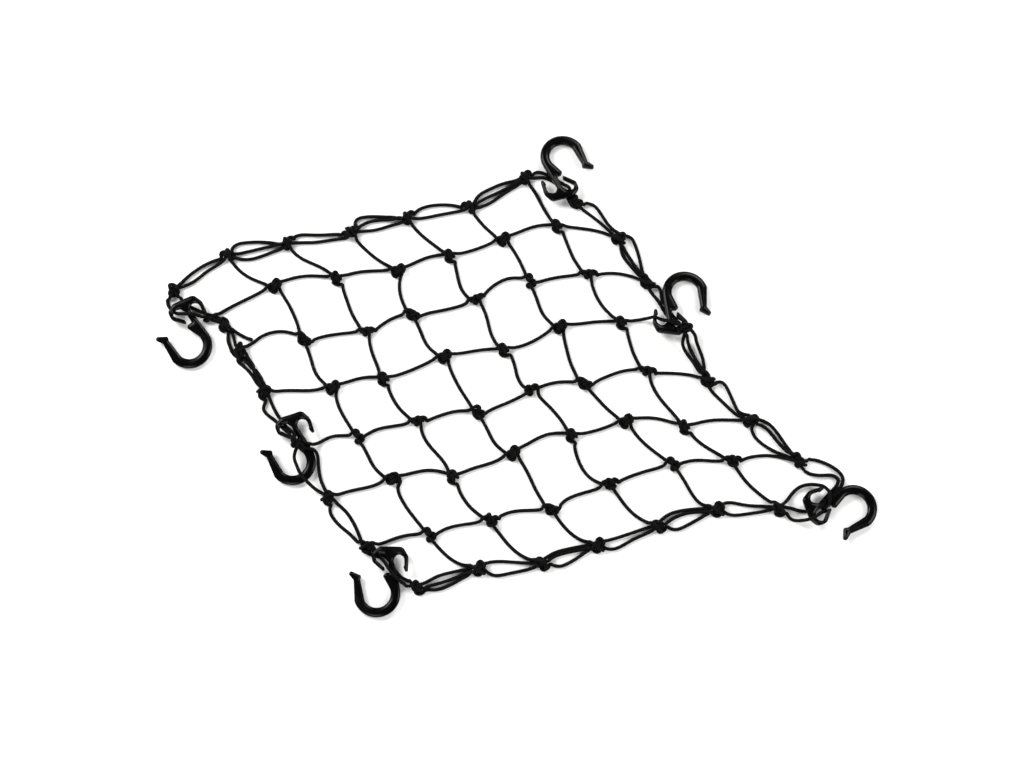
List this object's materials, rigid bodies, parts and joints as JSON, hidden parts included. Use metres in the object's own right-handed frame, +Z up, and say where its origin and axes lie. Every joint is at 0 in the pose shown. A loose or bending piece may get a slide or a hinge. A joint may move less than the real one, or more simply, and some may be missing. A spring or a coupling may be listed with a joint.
{
  "type": "elastic cargo net with hooks",
  "caption": "Square knotted net of elastic cord with a doubled border and flat moulded hooks on its edge, laid out slack to hold luggage down on a rack",
  "frame": {"origin": "middle of the bounding box, on the surface that the net lies on", "axes": "+X along the net's rows towards the corner hook, +Y across them, +Z up from the surface"},
  "size_m": [0.6378, 0.4552, 0.0173],
  "materials": {
    "cord": "woven sheath over an elastic core, near-black, matt with a slight sheen",
    "hook": "injection-moulded, glossy black"
  },
  "bodies": {
    "root": {"row_cord_1": "cord", "row_cord_2": "cord", "row_cord_3": "cord", "row_cord_4": "cord", "row_cord_5": "cord", "row_cord_6": "cord", "column_cord_1": "cord", "column_cord_2": "cord", "column_cord_3": "cord", "column_cord_4": "cord", "column_cord_5": "cord", "column_cord_6": "cord", "border_top_knotted": "cord", "border_top_free": "cord", "border_right_knotted": "cord", "border_right_free": "cord", "border_bottom_knotted": "cord", "border_bottom_free": "cord", "border_left_knotted": "cord", "border_left_free": "cord", "hook_top": "hook", "hook_right_upper": "hook", "hook_right_corner": "hook", "hook_left_corner": "hook", "hook_left": "hook", "hook_bottom": "hook"}
  },
  "joints": []
}
